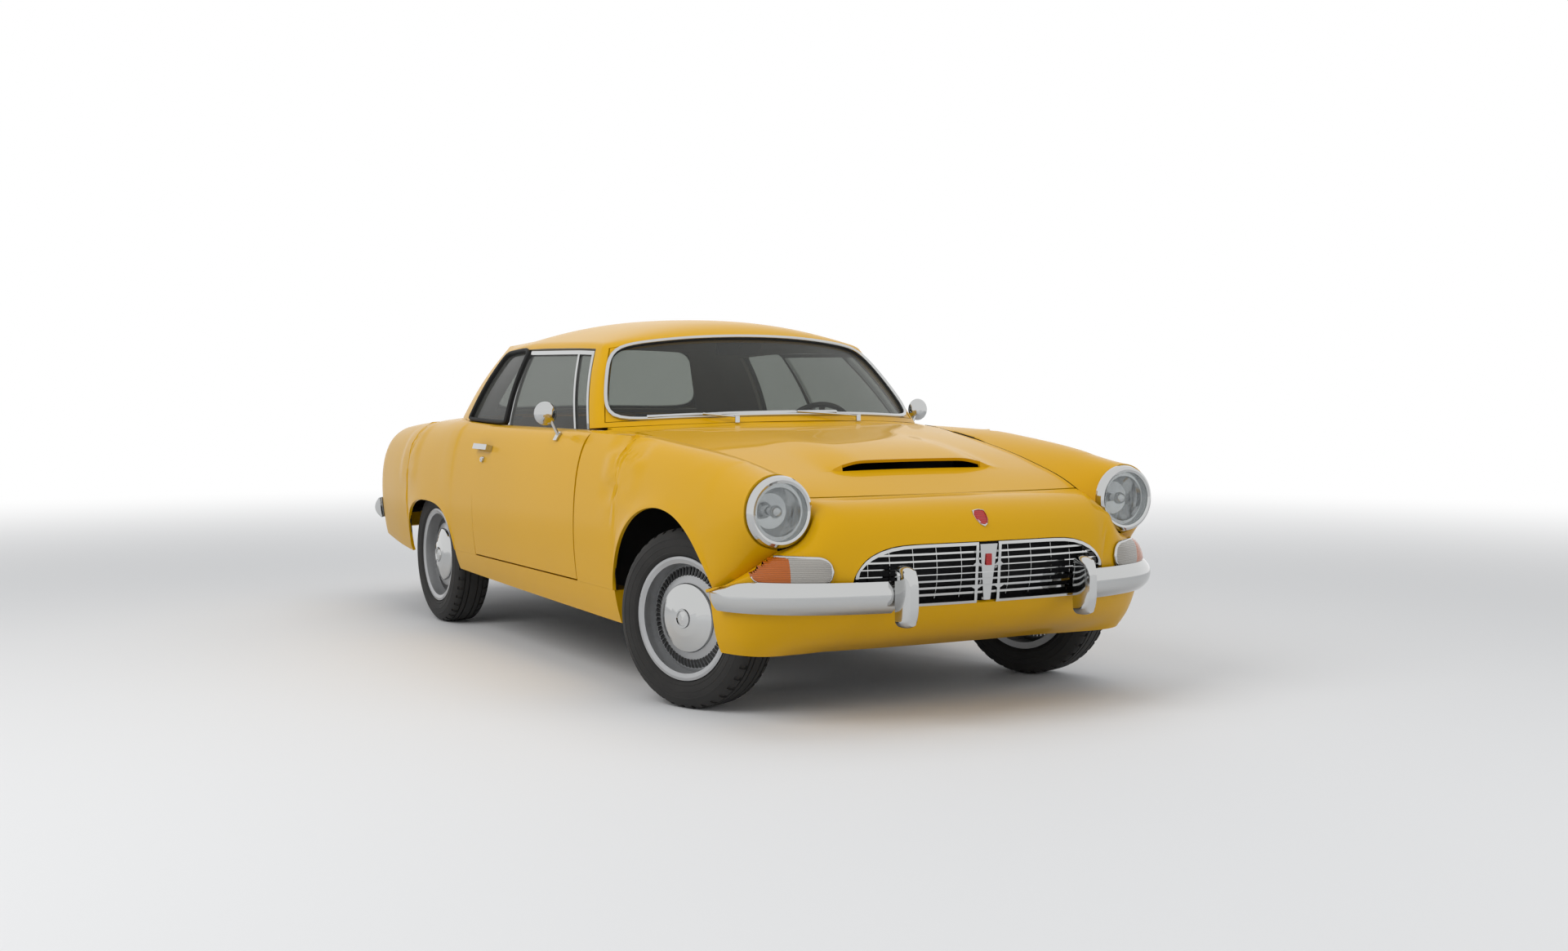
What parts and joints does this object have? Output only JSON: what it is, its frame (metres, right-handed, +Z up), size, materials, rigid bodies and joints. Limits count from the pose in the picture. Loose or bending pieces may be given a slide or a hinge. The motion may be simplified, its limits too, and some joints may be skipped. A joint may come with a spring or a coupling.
{
  "type": "two-door coupe car",
  "caption": "Classic two-door coupe with round lamps, a wide low grille, split bumpers, a bonnet scoop, hinged doors, bonnet and boot lid, steered front wheels and a furnished cabin.",
  "frame": {"origin": "middle of the length and width, on the ground", "axes": "+X forward, +Y to the left, +Z up"},
  "size_m": [4.4, 1.7538, 1.3375],
  "materials": {
    "paint": "gloss golden yellow",
    "glass": "clear",
    "chrome": "polished",
    "chassis": "satin black",
    "engine": "rough",
    "tyre": "matt",
    "rim": "satin silver",
    "lens": "clear",
    "amber": "amber",
    "red": "red",
    "black": "black",
    "hide": "brown"
  },
  "bodies": {
    "body": {"front_wings": "paint", "nose_panel": "paint", "rear_body": "paint", "sills": "paint", "roof_panel": "paint", "decks": "paint", "windscreen": "glass", "rear_window": "glass", "quarter_windows": "glass", "floor_pan": "chassis", "bulkhead": "chassis", "front_rails": "chassis", "boot_floor": "chassis", "hinges": "chassis", "engine": "engine", "rear_axle": "chassis", "leaf_springs": "chassis", "front_suspension": "chassis", "exhaust": "chassis", "headlamp_rims": "chrome", "headlamp_lenses": "lens", "front_lamps": "amber", "tail_lamps": "red", "grille": "chrome", "front_bumpers": "chrome", "rear_bumper": "chrome", "front_seats": "hide", "rear_seat": "hide", "dashboard": "hide", "interior_mirror": "black", "wipers": "chrome"},
    "knuckle_left": {"knuckle_left": "chassis"},
    "knuckle_right": {"knuckle_right": "chassis"},
    "wheel_front_left": {"wheel_front_left": "rim", "tyre_front_left": "tyre", "hubcap_front_left": "chrome"},
    "wheel_front_right": {"wheel_front_right": "rim", "tyre_front_right": "tyre", "hubcap_front_right": "chrome"},
    "wheel_rear_left": {"wheel_rear_left": "rim", "tyre_rear_left": "tyre", "hubcap_rear_left": "chrome"},
    "wheel_rear_right": {"wheel_rear_right": "rim", "tyre_rear_right": "tyre", "hubcap_rear_right": "chrome"},
    "door_left": {"door_left": "paint", "door_glass_left": "glass", "door_trim_left": "chrome"},
    "door_right": {"door_right": "paint", "door_glass_right": "glass", "door_trim_right": "chrome"},
    "bonnet": {"bonnet": "paint"},
    "boot_lid": {"boot_lid": "paint"},
    "steering_wheel": {"steering_wheel": "black"}
  },
  "joints": [
    {"name": "steer_left", "type": "hinge", "parent": "body", "child": "knuckle_left", "pos_m": [1.3992, 0.63, 0.3], "axis": [0, 0, 1], "range_deg": [-52, 12]},
    {"name": "steer_right", "type": "hinge", "parent": "body", "child": "knuckle_right", "pos_m": [1.3992, -0.63, 0.3], "axis": [0, 0, 1], "range_deg": [-52, 12]},
    {"name": "steering_wheel_turn", "type": "hinge", "parent": "body", "child": "steering_wheel", "pos_m": [0.34951, 0.36, 0.8], "axis": [-0.9272, 0, 0.3746], "range_deg": [-780, 180]},
    {"name": "spin_front_left", "type": "hinge", "parent": "knuckle_left", "child": "wheel_front_left", "pos_m": [1.37184, 0.70517, 0.3], "axis": [-0.342, 0.9397, 0], "continuous": true},
    {"name": "spin_front_right", "type": "hinge", "parent": "knuckle_right", "child": "wheel_front_right", "pos_m": [1.42656, -0.70517, 0.3], "axis": [-0.342, 0.9397, 0], "continuous": true},
    {"name": "spin_rear_left", "type": "hinge", "parent": "body", "child": "wheel_rear_left", "pos_m": [-1.0692, 0.71, 0.3], "axis": [0, 1, 0], "continuous": true},
    {"name": "spin_rear_right", "type": "hinge", "parent": "body", "child": "wheel_rear_right", "pos_m": [-1.0692, -0.71, 0.3], "axis": [0, 1, 0], "continuous": true},
    {"name": "door_left_swing", "type": "hinge", "parent": "body", "child": "door_left", "pos_m": [0.60485, 0.832, 0.6], "axis": [0, 0, -1], "range_deg": [0, 65]},
    {"name": "door_right_swing", "type": "hinge", "parent": "body", "child": "door_right", "pos_m": [0.60485, -0.832, 0.6], "axis": [0, 0, 1], "range_deg": [0, 65]},
    {"name": "bonnet_lift", "type": "hinge", "parent": "body", "child": "bonnet", "pos_m": [0.82935, 0, 0.937], "axis": [0, -1, 0], "range_deg": [0, 50]},
    {"name": "boot_lift", "type": "hinge", "parent": "body", "child": "boot_lid", "pos_m": [-1.2612, 0, 0.93], "axis": [0, 1, 0], "range_deg": [0, 65]}
  ],
  "couplings": [
    {"joint": "steer_right", "follows": "steer_left", "ratio": 1},
    {"joint": "steering_wheel_turn", "follows": "steer_left", "ratio": 15}
  ]
}
